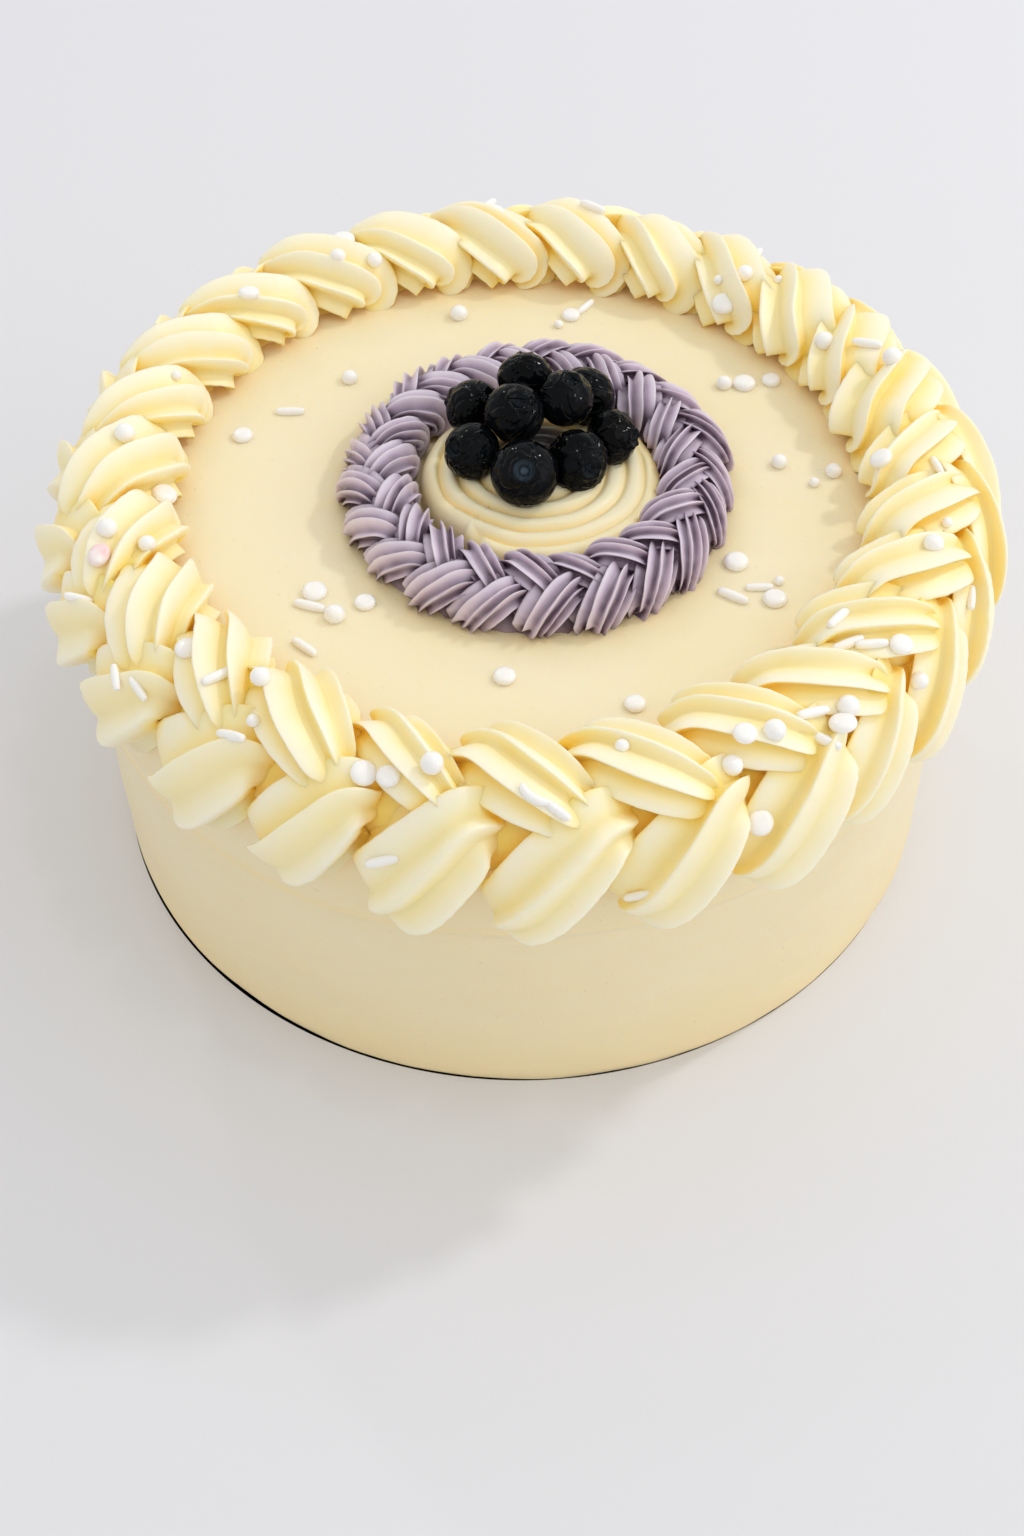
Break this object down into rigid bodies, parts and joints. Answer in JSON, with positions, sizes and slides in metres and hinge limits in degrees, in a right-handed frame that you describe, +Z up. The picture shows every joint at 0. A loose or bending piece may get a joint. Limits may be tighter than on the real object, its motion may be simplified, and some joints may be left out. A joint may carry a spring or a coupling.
{
  "type": "layer cake",
  "caption": "Round layer cake covered in pale yellow buttercream, with a braided shell border, a small lavender braided ring, a cream swirl and blueberries heaped in the middle.",
  "frame": {"origin": "middle of the flat underside of the cake", "axes": "+Z up, -Y towards the viewer, +X to the viewer's right"},
  "size_m": [0.2225, 0.2216, 0.1155],
  "materials": {
    "cake_icing": "smooth scraped buttercream, soft satin",
    "border_cream": "piped buttercream, soft satin",
    "lavender_cream": "piped buttercream, soft satin",
    "swirl_cream": "piped buttercream, soft satin",
    "berry_skin": "wet glossy skin",
    "sprinkle_sugar": "white sugar with a pearly glaze"
  },
  "bodies": {
    "root": {"cake_body": "cake_icing", "yellow_border": "border_cream", "lavender_border": "lavender_cream", "cream_swirl": "swirl_cream", "blueberry_1": "berry_skin", "blueberry_2": "berry_skin", "blueberry_3": "berry_skin", "blueberry_4": "berry_skin", "blueberry_5": "berry_skin", "blueberry_6": "berry_skin", "blueberry_7": "berry_skin", "blueberry_8": "berry_skin", "blueberry_9": "berry_skin"}
  },
  "joints": []
}
